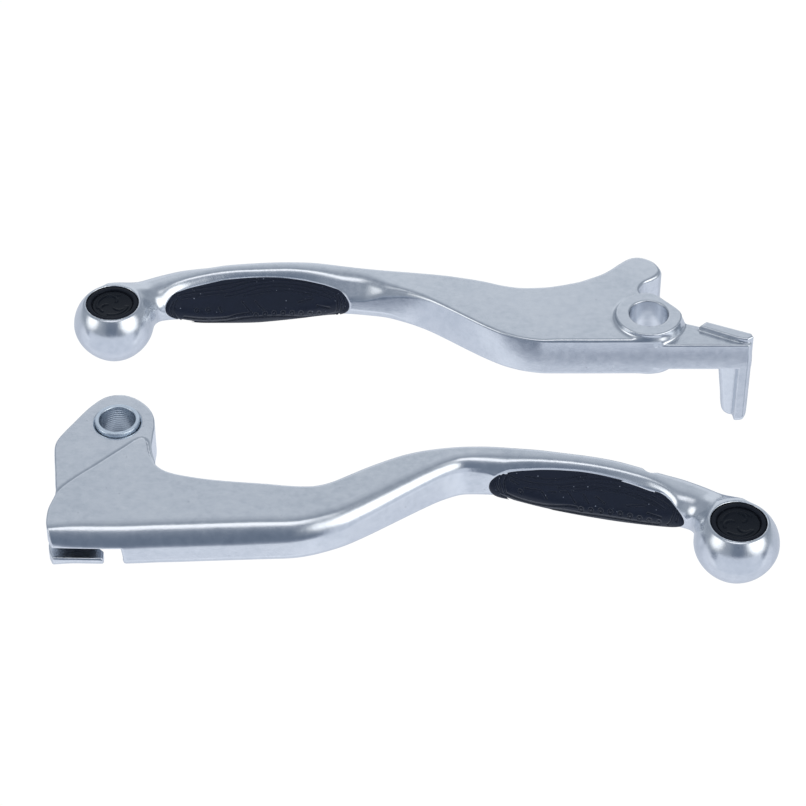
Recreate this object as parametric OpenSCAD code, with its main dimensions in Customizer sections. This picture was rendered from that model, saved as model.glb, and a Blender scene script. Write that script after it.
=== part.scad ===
// Matched pair of forged aluminium handlebar control levers: a cable clutch
// lever with a steel pivot bush and a hydraulic brake lever with a switch tab.
// Each lever is a casting, a rubber finger grip let into its front face and a
// round cap let into the top of its ball end.
//
// Frame: millimetres, +Z up along the pivot axes, origin on the clutch pivot
// axis at the mid-plane of the lever, +X along the clutch lever towards its
// ball end, +Y towards the handlebar. The brake lever lies behind the clutch
// lever, with its ball end towards -X. Front is -Y, back is +Y, left is -X.

/* [Clutch pivot] */
// Outside diameter of the steel pivot bush
bush_od = 10; // [9:0.5:11]
// Bore of the steel pivot bush
bush_id = 8; // [6:0.5:8]
// Length of the steel pivot bush
bush_len = 10.4; // [9.6:0.2:11]
// Running gap between the bush and the clutch lever, on radius
bush_gap = 0.05; // [0.02:0.01:0.09]
// Thickness of the ear round the clutch pivot
ear_t = 8.6; // [8:0.2:9.4]

/* [Clutch cable seat] */
// Diameter of the pocket for the cable nipple
nipple_d = 8; // [7:0.5:8.5]
// Height of the cable slot
slot_h = 2.9; // [2.5:0.1:3.3]
// Width of the cable gap in the lower wall
gap_w = 4; // [3:0.5:5]

/* [Brake pivot] */
// Bore for the brake pivot bolt
brake_bore = 9; // [8:0.5:10]
// Outside diameter of the brake pivot boss
boss_od = 15.3; // [14.5:0.1:16]
// Height of the brake pivot boss above the mid-plane
boss_top = 6.3; // [5.4:0.1:6.6]
// Height of the brake pivot boss below the mid-plane
boss_bottom = 5.5; // [5.2:0.1:6.5]
// Depth of the switch tab below the mid-plane
tab_drop = 19.6; // [14:0.2:21]

/* [Lever bodies] */
// Thickness of the flat part of both levers
plate_t = 10; // [9:0.2:11]
// Diameter of the ball ends
ball_d = 18.5; // [17:0.5:20]

/* [Finger grips and caps] */
// How far a finger grip stands proud of the metal
grip_proud = 0.6; // [0.3:0.1:1]
// Depth of the grip recess in the metal
grip_depth = 1.5; // [1:0.1:2]
// Diameter of the end caps
cap_d = 12.4; // [11:0.1:13]
// Thickness of the end caps
cap_t = 2.2; // [1.6:0.1:2.6]
// Gap round a grip or a cap in its pocket
seat_gap = 0.06; // [0.03:0.01:0.1]

/* [Hidden] */

metal = [0.72, 0.75, 0.79];
bush_steel = [0.62, 0.67, 0.74];
grip_black = [0.08, 0.08, 0.1];
cap_black = [0.05, 0.05, 0.06];

half_t = plate_t / 2;
ball_r = ball_d / 2;
clutch_ball = [135.2, -33.9];
brake_ball = [-3.8, 38.6];
brake_pivot = [120.2, 35.0];
cut = 20;                  // reach of a through cut above and below the mid-plane

cap_seat_z = 4.4;          // floor of the cap pocket
cap_lift = 0.02;           // clearance under the cap
cap_sunk = 0.25;           // flat of the ball end below the cap's top
cap_step = 0.3;            // chamfers of the cap and height of its rim

slot_top = 0.4;
slot_back = -26.5;         // y where the cable slot ends
gap_left = -1.0;
gap_back = -29.6;          // y where the gap in the lower wall ends
cable_cut = [-30, -50];    // cable cutters start here, clear of the metal
nipple_at = [1.0, -30.4];
nipple_rise = 1.9;         // nipple pocket above the slot
groove_at = [118.3, -14.3];
groove_r = 1.6;

plate_inset = 0.02;        // brake plate faces inside the lever's flat faces
bore_chamfer = 0.8;
boss_flat = 6.2;           // pivot axis to the flat on the boss
boss_flat_angle = 42;      // direction of that flat, from +X towards +Y

// Design sections of the levers across X:
// [x, front y, back y, half height beyond half_t, front top round y and z,
//  front bottom round y and z, back round]
clutch_sections = [
    [-13.2, -34.1, -26.9, -0.5, 3.2, 3.0, 1.7, 1.7, 0.4],
    [-12.6, -35.5, -24.6, 0,    4.3, 4.2, 2.0, 2.0, 0.4],
    [-11.6, -36.1, -22.3, 0,    4.6, 4.6, 2.0, 2.0, 0.4],
    [ -6.9, -36.1, -17.3, 0,    4.6, 4.6, 2.0, 2.0, 0.4],
    [ -0.8, -36.4, -11.6, 0,    4.6, 4.6, 2.0, 2.0, 0.4],
    [  4.3, -36.2,  -6.4, 0,    4.6, 4.6, 2.0, 2.0, 0.4],
    [  5.9, -36.2,  -5.5, 0,    4.6, 4.6, 2.0, 2.0, 0.4],
    [  7.0, -36.1,  -7.2, 0,    4.6, 4.6, 2.0, 2.0, 0.4],
    [  7.7, -36.1, -10.5, 0,    4.6, 4.6, 2.0, 2.0, 0.4],
    [  8.9, -36.0, -13.5, 0,    4.6, 4.6, 2.0, 2.0, 0.4],
    [ 10.6, -35.9, -15.6, 0,    4.6, 4.6, 2.0, 2.0, 0.4],
    [ 14.0, -35.8, -17.2, 0,    4.6, 4.6, 2.0, 2.0, 0.4],
    [ 20.6, -35.5, -18.8, 0,    4.6, 4.6, 2.0, 2.0, 0.4],
    [ 27.5, -35.2, -19.7, 0,    4.6, 4.6, 2.0, 2.0, 0.4],
    [ 34.0, -34.9, -20.3, 0,    4.5, 4.5, 2.0, 2.0, 0.5],
    [ 39.0, -34.7, -20.9, 0,    4.3, 4.3, 2.0, 2.0, 0.6],
    [ 43.0, -34.0, -21.1, 0,    4.2, 4.2, 2.0, 2.0, 0.6],
    [ 47.0, -32.7, -20.1, 0,    4.3, 4.1, 2.1, 2.1, 0.7],
    [ 51.0, -31.0, -17.8, 0,    4.4, 4.0, 2.3, 2.3, 0.8],
    [ 55.4, -28.5, -15.1, 0,    4.4, 3.9, 2.6, 2.6, 0.9],
    [ 59.7, -25.9, -12.8, 0,    4.4, 3.8, 3.2, 3.2, 1.0],
    [ 64.1, -23.2, -10.8, 0,    4.3, 3.7, 3.9, 3.9, 1.1],
    [ 68.5, -20.6,  -9.5, 0,    4.2, 3.8, 4.5, 4.6, 1.2],
    [ 73.0, -17.8,  -8.8, 0.1,  4.5, 4.2, 4.9, 4.9, 1.2],
    [ 77.4, -16.2,  -8.5, 0.2,  4.9, 4.8, 5.2, 5.1, 1.2],
    [ 81.0, -16.1,  -8.5, 0.3,  5.2, 5.1, 5.3, 5.2, 1.2],
    [ 86.0, -17.2,  -8.9, 0.4,  5.7, 5.3, 5.7, 5.3, 1.3],
    [ 92.0, -19.2,  -9.5, 0.6,  6.4, 5.5, 6.4, 5.5, 1.4],
    [ 98.0, -21.1, -10.6, 0.7,  6.9, 5.6, 6.9, 5.6, 1.5],
    [104.0, -22.7, -11.7, 0.7,  7.0, 5.6, 7.0, 5.6, 1.5],
    [110.0, -24.1, -13.1, 0.6,  6.9, 5.5, 6.9, 5.5, 1.6],
    [116.0, -25.2, -15.1, 0.4,  6.4, 5.3, 6.4, 5.3, 2.0],
    [120.5, -25.9, -16.6, 0.2,  5.4, 5.1, 5.4, 5.1, 3.0],
    [124.0, -26.9, -17.5, 0,    4.9, 4.9, 4.9, 4.9, 3.0],
    [127.5, -29.6, -19.1, 0,    4.9, 4.9, 4.9, 4.9, 3.0],
    [131.0, -33.4, -21.0, 0,    4.6, 4.8, 4.6, 4.8, 3.0],
    [134.0, -35.0, -23.1, 0,    4.4, 4.6, 4.4, 4.6, 3.0]];

brake_sections = [
    [ -2.6, 38.2, 48.2, 0,    4.4, 4.6, 4.4, 4.6, 3.0],
    [  0.3, 38.0, 49.3, 0,    4.8, 4.8, 4.8, 4.8, 3.0],
    [  3.8, 40.4, 50.8, 0,    5.0, 4.9, 5.0, 4.9, 3.0],
    [  7.5, 42.6, 52.1, 0,    5.0, 4.9, 5.0, 4.9, 3.0],
    [ 11.5, 43.1, 53.2, 0.3,  5.4, 5.2, 5.4, 5.2, 2.8],
    [ 16.8, 42.7, 53.5, 0.6,  6.2, 5.5, 6.2, 5.5, 1.8],
    [ 22.0, 42.7, 54.4, 0.8,  6.8, 5.7, 6.8, 5.7, 1.5],
    [ 28.0, 42.8, 55.0, 0.8,  7.0, 5.7, 7.0, 5.7, 1.5],
    [ 34.0, 43.5, 55.2, 0.8,  7.0, 5.7, 7.0, 5.7, 1.5],
    [ 40.0, 44.2, 55.3, 0.7,  6.6, 5.6, 6.6, 5.6, 1.4],
    [ 45.0, 45.4, 54.8, 0.4,  5.8, 5.3, 4.9, 4.8, 1.2],
    [ 50.0, 46.0, 54.0, 0.2,  4.8, 4.9, 3.7, 3.7, 1.0],
    [ 54.5, 45.6, 53.3, 0,    3.9, 4.4, 3.4, 3.4, 0.8],
    [ 59.2, 45.0, 52.6, 0,    2.9, 3.4, 2.9, 3.4, 0.7],
    [ 63.9, 43.9, 52.0, 0,    1.8, 1.8, 1.8, 1.8, 0.6],
    [ 68.6, 41.8, 51.4, 0,    1.2, 1.2, 1.2, 1.2, 0.6],
    [ 73.3, 38.6, 50.7, 0,    0.9, 0.9, 0.9, 0.9, 0.6],
    [ 78.0, 35.0, 49.7, 0,    0.8, 0.8, 0.8, 0.8, 0.6],
    [ 82.6, 31.6, 48.5, 0,    0.8, 0.8, 0.8, 0.8, 0.6],
    [ 87.2, 28.8, 46.9, 0,    0.8, 0.8, 0.8, 0.8, 0.6],
    [ 91.9, 27.1, 46.1, 0,    0.8, 0.8, 0.8, 0.8, 0.6],
    [ 96.5, 26.4, 46.3, 0,    0.8, 0.8, 0.8, 0.8, 0.6],
    [101.0, 26.4, 47.2, 0,    0.8, 0.8, 0.8, 0.8, 0.6],
    [104.0, 26.4, 48.4, 0,    0.8, 0.8, 0.8, 0.8, 0.6],
    [105.5, 27.4, 47.8, -0.8, 0.8, 0.8, 0.8, 0.8, 0.6]];

// Sections that reach past both ends of each grip
function between(sections, x0, x1) = [for (s = sections) if (s[0] >= x0 && s[0] <= x1) s];
clutch_grip_sections = between(clutch_sections, 70, 128);
brake_grip_sections = between(brake_sections, 2, 56);

// Back edge of each grip on the top and bottom of its lever: [x, y]
clutch_grip_edge = [
    [82, -16.9], [84.7, -16.1], [88.2, -15.95], [92, -16.2], [96, -16.7],
    [100, -17.3], [104, -18.1], [108, -19.1], [112, -20.3], [116, -21.8],
    [119.2, -23.4], [121.6, -24.8], [123.4, -26.4], [124.6, -28.4]];
brake_grip_edge = [
    [8.0, 42.9], [9.4, 44.2], [12, 45.4], [16, 46.5], [20, 47.25], [25, 48.05],
    [30, 48.45], [34, 48.4], [38, 48.15], [42, 47.7], [46, 46.95],
    [48.6, 46.1], [50.8, 44.8]];

// Rounding of a grip's ends, seen from the front: [inset along X, z]
grip_end = [[0, 0], [0.25, 1.7], [0.9, 3.5], [2.3, 4.8], [4.2, 6.2], [7, 9]];

// Plan outlines: [x, y]
ear_points = [
    [-0.2, 8.9], [-3.2, 8.1], [-6.2, 5.0], [-9.4, -0.1], [-12.1, -4.8],
    [-12.9, -7.4], [-12.8, -10.4], [-12.2, -15.8], [-11.6, -21.2],
    [-10.6, -24.5], [-2, -26], [5, -24], [9.5, -18.5], [8.9, -13.4],
    [7.8, -8.4], [7.9, -3.8], [8.0, -1.2], [7.6, 1.9], [6.4, 4.6],
    [4.4, 6.9], [2.3, 8.3]];
// back of the brake plate, with the cam lobe that pushes the piston
cam_points = [
    [103.0, 48.2], [106.1, 49.0], [111.0, 51.7], [115.9, 56.2], [118.4, 57.3],
    [120.7, 56.9], [123.0, 55.4], [124.3, 52.8], [123.9, 50.8], [122.2, 49.2],
    [120.0, 47.7], [118.8, 45.6], [119.2, 43.6], [121.4, 42.4]];
// right and front of the brake plate, round the pivot
land_points = [
    [126.0, 39.6], [128.6, 35.2], [128.4, 32.2], [126.0, 29.0], [122.4, 26.6],
    [116.0, 26.6], [108.0, 26.5], [103.0, 26.4]];
arm_outline = [
    [116, 27.2], [123, 26.5], [143.0, 26.5], [143.9, 27.6], [143.6, 29.4],
    [133.7, 33.2], [129.2, 34.7], [122, 36]];
rib_outline = [[131.9, 32.0], [133.7, 33.8], [143.6, 29.4], [143.9, 28.2], [141.2, 27.6]];
tab_outline = [
    [133.0, 31.2], [134.0, 33.4], [143.6, 29.4], [143.9, 26.5], [140.7, 26.5],
    [140.4, 28.0]];
// Switch tab seen from the front: [x, z]
tab_profile = [
    [136.5, 1], [136.8, -6], [138.0, 1.6 - tab_drop], [139.4, 0.3 - tab_drop],
    [141.2, -tab_drop], [143.0, 0.4 - tab_drop], [144.2, 2.4 - tab_drop], [144.2, 1]];

// Catmull-Rom point between start and end, with its neighbours on each side
function spline(before, start, end, after, t) =
    start + 0.5 * t * ((end - before)
        + t * ((2 * before - 5 * start + 4 * end - after)
        + t * (3 * (start - end) + after - before)));
// Smooth open curve through points, n steps between each pair
function curve(p, n) = [
    for (i = [0 : len(p) - 2], k = [0 : n - 1])
        spline(p[max(i - 1, 0)], p[i], p[i + 1], p[min(i + 2, len(p) - 1)], k / n),
    p[len(p) - 1]];
// Smooth closed curve through points
function loop(p, n) = let (m = len(p)) [
    for (i = [0 : m - 1], k = [0 : n - 1])
        spline(p[(i + m - 1) % m], p[i], p[(i + 1) % m], p[(i + 2) % m], k / n)];

// Quarter of an ellipse from angle start, in five steps
function quarter(cy, cz, ry, rz, start) = [
    for (k = [0 : 5])
        let (a = start + 90 * k / 5) [cy + ry * cos(a), cz + rz * sin(a)]];
// One section as a ring of [y, z] points, grown outwards
function ring(s, grow) =
    let (front = s[1] - grow, back = s[2] + grow, top = half_t + s[3] + grow,
         back_r = s[8] + max(grow, -s[8] / 2),
         top_ry = s[4] + grow, top_rz = s[5] + grow,
         low_ry = max(s[6] + grow, 0.3), low_rz = max(s[7] + grow, 0.3))
    concat(quarter(back - back_r, top - back_r, back_r, back_r, 0),
           quarter(front + top_ry, top - top_rz, top_ry, top_rz, 90),
           quarter(front + low_ry, -top + low_rz, low_ry, low_rz, 180),
           quarter(back - back_r, -top + back_r, back_r, back_r, 270));

// Solid skinned over sections across X
module beam(sections, grow = 0) {
    rings = [for (s = sections) ring(s, grow)];
    m = len(rings[0]);
    last = len(sections) - 1;
    points = [for (i = [0 : last], p = rings[i]) [sections[i][0], p[0], p[1]]];
    polyhedron(points = points, convexity = 6, faces = concat(
        [[for (j = [0 : m - 1]) j]],
        [[for (j = [m - 1 : -1 : 0]) last * m + j]],
        [for (i = [0 : last - 1], j = [0 : m - 1])
            [i * m + j, (i + 1) * m + j, (i + 1) * m + (j + 1) % m]],
        [for (i = [0 : last - 1], j = [0 : m - 1])
            [i * m + j, (i + 1) * m + (j + 1) % m, i * m + (j + 1) % m]]));
}

// Space a finger grip may fill: its plan crossed with its front view
module grip_window(edge, grow = 0) {
    first = edge[0];
    last = edge[len(edge) - 1];
    x0 = first[0] - grow;
    x1 = last[0] + grow;
    n = len(grip_end) - 1;
    plan = concat(
        [[first[0] - 3, first[1] - 20], [first[0] - 3, first[1] - 1]],
        curve([for (q = edge) [q[0], q[1] + grow]], 2),
        [[last[0] + 3, last[1] - 1], [last[0] + 3, first[1] - 20]]);
    front_view = concat(
        [for (q = grip_end) [x0 + q[0], q[1]]],
        [for (i = [n : -1 : 0]) [x1 - grip_end[i][0], grip_end[i][1]]],
        [for (i = [1 : n]) [x1 - grip_end[i][0], -grip_end[i][1]]],
        [for (i = [n : -1 : 1]) [x0 + grip_end[i][0], -grip_end[i][1]]]);
    intersection() {
        translate([0, 0, -12]) linear_extrude(24) polygon(plan);
        translate([0, first[1] + 20, 0]) rotate([90, 0, 0])
            linear_extrude(60) polygon(front_view);
    }
}

// Lever body with the recess for its grip
module grip_body(sections, grip_sections, edge) difference() {
    beam(sections);
    difference() {
        grip_window(edge);
        beam(grip_sections, -grip_depth);
    }
}

module finger_grip(grip_sections, edge) difference() {
    intersection() {
        beam(grip_sections, grip_proud);
        grip_window(edge, -seat_gap);
    }
    beam(grip_sections, -grip_depth + seat_gap);
}

// Ball end, its lower half drawn in slightly between equator and pole
function ball_scale(a) = a > 0 ? 1 : 1 - 0.055 * pow(abs(sin(2 * a)), 1.5);
module ball_end(at)
    translate([at[0], at[1], 0]) rotate_extrude($fn = 72)
        polygon(concat([[0, -ball_r]],
            [for (a = [-84 : 6 : 84]) ball_r * ball_scale(a) * [cos(a), sin(a)]],
            [[0, ball_r]]));
// Cutter for the top of a ball end or for its cap pocket
module ball_cut(at, z, r)
    translate([at[0], at[1], z]) cylinder(r = r, h = ball_r, $fn = 64);
module ball_flat(at) ball_cut(at, cap_seat_z + cap_t - cap_sunk, ball_r);
module cap_pocket(at) ball_cut(at, cap_seat_z, cap_d / 2 + seat_gap);

// Flat round cap with a raised rim
module cap(at) {
    r = cap_d / 2;
    rim_in = r - 1.1;
    low = cap_t - cap_step;
    translate([at[0], at[1], cap_seat_z + cap_lift])
        rotate_extrude($fn = 72) polygon([
            [0, 0], [r, 0], [r, low], [r - cap_step, cap_t],
            [rim_in, cap_t], [rim_in - cap_step, low], [0, low]]);
}

module clutch_ear()
    translate([0, 0, -ear_t / 2]) linear_extrude(ear_t) polygon(loop(ear_points, 4));

module clutch_lever_casting() color(metal) difference() {
    union() {
        grip_body(clutch_sections, clutch_grip_sections, clutch_grip_edge);
        clutch_ear();
        ball_end(clutch_ball);
    }
    ball_flat(clutch_ball);
    cap_pocket(clutch_ball);
    // pivot bore that turns on the steel bush
    translate([0, 0, -cut]) cylinder(r = bush_od / 2 + bush_gap, h = 2 * cut, $fn = 64);
    // cable slot, open to the front and to the left
    translate([cable_cut[0], cable_cut[1], slot_top - slot_h])
        cube([gap_left + gap_w - cable_cut[0], slot_back - cable_cut[1], slot_h]);
    // gap in the lower wall where the cable drops into the slot
    translate([gap_left, cable_cut[1], -cut])
        cube([gap_w, gap_back - cable_cut[1], cut + slot_top]);
    // pocket for the cable nipple, open below
    translate([nipple_at[0], nipple_at[1], -cut])
        cylinder(r = nipple_d / 2, h = cut + slot_top + nipple_rise, $fn = 64);
    // break-off groove in the back near the ball end
    translate([groove_at[0], groove_at[1], -cut])
        cylinder(r = groove_r, h = 2 * cut, $fn = 32);
}

module clutch_pivot_bush() {
    inner = bush_id / 2;
    outer = bush_od / 2;
    end = bush_len / 2;
    in_chamfer = 0.4;
    out_chamfer = 0.3;
    color(bush_steel) rotate_extrude($fn = 72) polygon([
        [inner, -end + in_chamfer], [inner + in_chamfer, -end],
        [outer - out_chamfer, -end], [outer, -end + out_chamfer],
        [outer, end - out_chamfer], [outer - out_chamfer, end],
        [inner + in_chamfer, end], [inner, end - in_chamfer]]);
}

module clutch_finger_grip()
    color(grip_black) finger_grip(clutch_grip_sections, clutch_grip_edge);

module clutch_end_cap() color(cap_black) cap(clutch_ball);

// Web, pivot land and cam lobe, with the pivot boss
module brake_plate() difference() {
    union() {
        translate([0, 0, -half_t + plate_inset]) linear_extrude(plate_t - 2 * plate_inset)
            polygon(concat(curve(cam_points, 4), curve(land_points, 3)));
        translate([brake_pivot[0], brake_pivot[1], -boss_bottom])
            cylinder(r = boss_od / 2, h = boss_top + boss_bottom, $fn = 96);
    }
    // flat that trims the boss at its back right
    translate([brake_pivot[0], brake_pivot[1], -cut]) rotate([0, 0, boss_flat_angle])
        translate([boss_flat, -5, 0]) cube([8, 14, 2 * cut]);
}

module switch_arm() {
    // arm out to the switch tab
    translate([0, 0, -3.5]) linear_extrude(7) polygon(arm_outline);
    // diagonal rib over the arm
    translate([0, 0, -3]) linear_extrude(7.7) polygon(rib_outline);
    // tab that works the switch, below the arm
    intersection() {
        translate([0, 0, -tab_drop]) linear_extrude(tab_drop) polygon(tab_outline);
        translate([0, 60, 0]) rotate([90, 0, 0]) linear_extrude(60) polygon(tab_profile);
    }
}

module brake_lever_casting() color(metal) difference() {
    bore_r = brake_bore / 2;
    union() {
        grip_body(brake_sections, brake_grip_sections, brake_grip_edge);
        brake_plate();
        switch_arm();
        ball_end(brake_ball);
    }
    ball_flat(brake_ball);
    cap_pocket(brake_ball);
    // pivot bore with a chamfer at each end
    translate([brake_pivot[0], brake_pivot[1], 0]) {
        translate([0, 0, -cut]) cylinder(r = bore_r, h = 2 * cut, $fn = 72);
        translate([0, 0, boss_top - bore_chamfer / 2])
            cylinder(r1 = bore_r, r2 = bore_r + bore_chamfer, h = bore_chamfer, $fn = 72);
        translate([0, 0, -boss_bottom - bore_chamfer / 2])
            cylinder(r1 = bore_r + bore_chamfer, r2 = bore_r, h = bore_chamfer, $fn = 72);
    }
}

module brake_finger_grip()
    color(grip_black) finger_grip(brake_grip_sections, brake_grip_edge);

module brake_end_cap() color(cap_black) cap(brake_ball);

clutch_pivot_bush();
clutch_lever_casting();
clutch_finger_grip();
clutch_end_cap();
brake_lever_casting();
brake_finger_grip();
brake_end_cap();
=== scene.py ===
"""A clutch and a brake hand lever in cast aluminium, with moulded finger grips and round end caps.

Both lie flat along X with Z up, the clutch lever in front (-Y) and the brake lever behind it.
The clutch pivot is at the origin and its ball end at the right (+X); the brake lever has its
ball end at the left and its pivot at the right. Lengths are millimetres unless noted.
"""
import math
import random
from collections import namedtuple

import bpy
import numpy as np
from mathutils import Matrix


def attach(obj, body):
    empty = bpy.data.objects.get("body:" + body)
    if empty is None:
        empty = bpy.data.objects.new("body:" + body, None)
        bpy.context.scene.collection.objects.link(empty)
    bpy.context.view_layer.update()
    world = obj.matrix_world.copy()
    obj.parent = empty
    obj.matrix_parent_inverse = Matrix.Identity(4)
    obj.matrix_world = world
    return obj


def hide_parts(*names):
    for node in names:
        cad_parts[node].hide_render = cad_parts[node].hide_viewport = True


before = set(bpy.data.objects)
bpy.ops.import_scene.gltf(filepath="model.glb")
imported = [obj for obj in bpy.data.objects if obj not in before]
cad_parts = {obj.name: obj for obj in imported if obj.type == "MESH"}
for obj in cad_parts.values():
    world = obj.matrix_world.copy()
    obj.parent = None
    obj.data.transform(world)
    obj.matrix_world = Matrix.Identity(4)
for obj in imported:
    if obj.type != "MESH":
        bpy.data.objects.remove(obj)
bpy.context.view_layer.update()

import openvdb
from mathutils import Vector

random.seed(7)

# ---------------------------------------------------------------- dimensions
BALL_R = 9.25
FLAT_Z = 6.55  # flat top of the ball ends
SEAT_Z = 4.4  # floor of the cap pockets
CAP_R = 6.0
CAP_GAP = 0.08
CLUTCH_BALL, BRAKE_BALL = (135.2, -33.9), (-3.8, 38.6)

BUSH_BORE, BUSH_R, BUSH_HALF = 4.0, 5.0, 5.2
CLUTCH_BORE = BUSH_R + 0.07
BRAKE_PIVOT = (120.2, 35.0)
BRAKE_BORE, BRAKE_BOSS_R = 4.5, 7.65
BOSS_FLAT = (math.radians(42), 6.2)  # direction and distance of the flat on the brake boss
PLATE_HALF = 5.0

NOSE_Y, NOSE_Z = 9.0, 6.5  # half axes of the blunt elliptical front
RECESS_DEPTH, PAD_DEPTH = 2.7, 2.64
PAD_GAP = 0.05

CASTING_CELL = 0.26
GRIP_CELL = 0.13


# ---------------------------------------------------------------- field tools
# Castings and grips are distance fields, negative inside. Each is meshed, pulled
# onto the exact surface and given exact normals.
def smin(a, b, blend):
    h = np.maximum(blend - np.abs(a - b), 0) / blend
    return np.minimum(a, b) - h * h * blend * 0.25


def smax(a, b, blend):
    h = np.maximum(blend - np.abs(a - b), 0) / blend
    return np.maximum(a, b) + h * h * blend * 0.25


def step(start, end, value):
    t = np.clip((value - start) / (end - start), 0, 1)
    return t * t * (3 - 2 * t)


def ellipse(u, v, half_u, half_v, floor=1e-9):
    """Near distance to an ellipse; u and v are already divided by its half axes."""
    size = np.sqrt(u * u + v * v)
    slope = np.sqrt((u / half_u) ** 2 + (v / half_v) ** 2)
    return (size - 1) * size / np.maximum(slope, floor)


def edge(wall, z, half, top_y, top_z, low_y, low_z):
    """Half slab behind a wall at 0, |z| < half, with its top and bottom edges rounded."""
    top = z > 0
    round_y, round_z = np.where(top, top_y, low_y), np.where(top, top_z, low_z)
    over = np.abs(z) - half
    u = np.maximum((wall + round_y) / round_y, 0)
    v = np.maximum((over + round_z) / round_z, 0)
    rounded = ellipse(u, v, round_y, round_z)
    return np.where((u > 0) & (v > 0), rounded, np.maximum(wall, over))


def nose(wall, z, half):
    """Blunt elliptical front, cut off by the flat top and bottom."""
    u = np.maximum((wall + NOSE_Y) / NOSE_Y, 0)
    front = ellipse(u, z / NOSE_Z, NOSE_Y, NOSE_Z, floor=1e-6)
    return smax(front, np.abs(z) - half, 1.3)


def slab(wall, z, low, high, r):
    over = np.maximum(z - high, low - z)
    inner = np.minimum(np.maximum(wall + r, over + r), 0)
    return inner + np.hypot(np.maximum(wall + r, 0), np.maximum(over + r, 0)) - r


def catmull(points, steps, closed=False):
    """Smooth curve through the points, with a number of steps per span."""
    points = np.array(points, float)
    count = len(points)
    out = []
    for i in range(count if closed else count - 1):
        span = range(i - 1, i + 3)
        span = [k % count if closed else min(max(k, 0), count - 1) for k in span]
        before, start, end, after = points[span]
        for k in range(steps):
            t = k / steps
            cubic = t * (3 * (start - end) + after - before)
            square = t * (2 * before - 5 * start + 4 * end - after + cubic)
            out.append(start + 0.5 * t * ((end - before) + square))
    if not closed:
        out.append(points[-1])
    return np.array(out)


def segment_dist2(x, y, start, end):
    """Squared distance to a line segment."""
    run, rise = end[0] - start[0], end[1] - start[1]
    along = (x - start[0]) * run + (y - start[1]) * rise
    t = np.clip(along / max(run * run + rise * rise, 1e-9), 0, 1)
    return (x - start[0] - t * run) ** 2 + (y - start[1] - t * rise) ** 2


def outline_distance(x, y, outline):
    dist2 = np.full(x.shape, 1e18)
    inside = np.zeros(x.shape, bool)
    for start, end in zip(outline, np.roll(outline, -1, 0)):
        np.minimum(dist2, segment_dist2(x, y, start, end), out=dist2)
        run, rise = end - start
        if abs(rise) > 1e-12:
            crosses = (start[1] > y) != (end[1] > y)
            inside ^= crosses & (x < run * (y - start[1]) / rise + start[0])
    dist = np.sqrt(dist2)
    return np.where(inside, -dist, dist)


def bilinear(grid, u, v):
    i, j = u.astype(np.int64), v.astype(np.int64)
    f, g = u - i, v - j
    near = grid[i, j] * (1 - f) + grid[i + 1, j] * f
    far = grid[i, j + 1] * (1 - f) + grid[i + 1, j + 1] * f
    return near * (1 - g) + far * g


class Plan:
    """Signed distance to a closed outline, held on a grid."""

    def __init__(self, outline, low, high, cell=0.12):
        self.low, self.cell = np.array(low, float), cell
        self.count = np.ceil((np.array(high, float) - self.low) / cell).astype(int) + 1
        axes = [self.low[k] + cell * np.arange(self.count[k]) for k in range(2)]
        grid_x, grid_y = np.meshgrid(*axes, indexing="ij")
        self.grid = outline_distance(grid_x, grid_y, np.array(outline, float))

    def __call__(self, x, y):
        u, v = (x - self.low[0]) / self.cell, (y - self.low[1]) / self.cell
        u_in = np.clip(u, 0, self.count[0] - 1.001)
        v_in = np.clip(v, 0, self.count[1] - 1.001)
        return bilinear(self.grid, u_in, v_in) + np.hypot(u - u_in, v - v_in) * self.cell


# ---------------------------------------------------------------- lever sections
TRACK_X0, TRACK_STEP, TRACK_COUNT = -24.0, 0.05, 3600
TRACK_X = TRACK_X0 + TRACK_STEP * np.arange(TRACK_COUNT)
TRACK_SOFT, SHOULDER_SOFT = 0.9, 0.7  # smoothing lengths along X

# Cross-section of a lever at one X. "_cos" turns a y gap into a gap square to the wall; the
# nose values are the share of the elliptical nose; pad_y is the front the grip is built from.
Section = namedtuple("Section", """front_y front_cos back_y back_cos half top_y top_z low_y low_z
    back_r metal_nose grip_nose corner_y slope_sin slope_cos pad_edge_y pad_edge_z crown pad_y""")


def pchip(knots_x, knots_y, x):
    """Monotone cubic through the knots, straight beyond them."""
    knots_x, knots_y = np.array(knots_x, float), np.array(knots_y, float)
    width = np.diff(knots_x)
    slope = np.diff(knots_y) / width
    tangent = np.zeros(len(knots_x))
    tangent[0], tangent[-1] = slope[0], slope[-1]
    for i in range(1, len(knots_x) - 1):
        if slope[i - 1] * slope[i] > 0:
            before, after = 2 * width[i] + width[i - 1], width[i] + 2 * width[i - 1]
            tangent[i] = (before + after) / (before / slope[i - 1] + after / slope[i])
    i = np.clip(np.searchsorted(knots_x, x) - 1, 0, len(knots_x) - 2)
    t = (x - knots_x[i]) / width[i]
    inner = (
        (2 * t**3 - 3 * t**2 + 1) * knots_y[i]
        + (t**3 - 2 * t**2 + t) * width[i] * tangent[i]
        + (-2 * t**3 + 3 * t**2) * knots_y[i + 1]
        + (t**3 - t**2) * width[i] * tangent[i + 1]
    )
    left = knots_y[0] + tangent[0] * (x - knots_x[0])
    right = knots_y[-1] + tangent[-1] * (x - knots_x[-1])
    return np.where(x < knots_x[0], left, np.where(x > knots_x[-1], right, inner))


def soft(values, length):
    """Gaussian smoothing along X."""
    reach = int(3 * length / TRACK_STEP)
    kernel = np.exp(-0.5 * (np.arange(-reach, reach + 1) * TRACK_STEP / length) ** 2)
    return np.convolve(np.pad(values, reach, mode="edge"), kernel / kernel.sum(), mode="valid")


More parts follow.
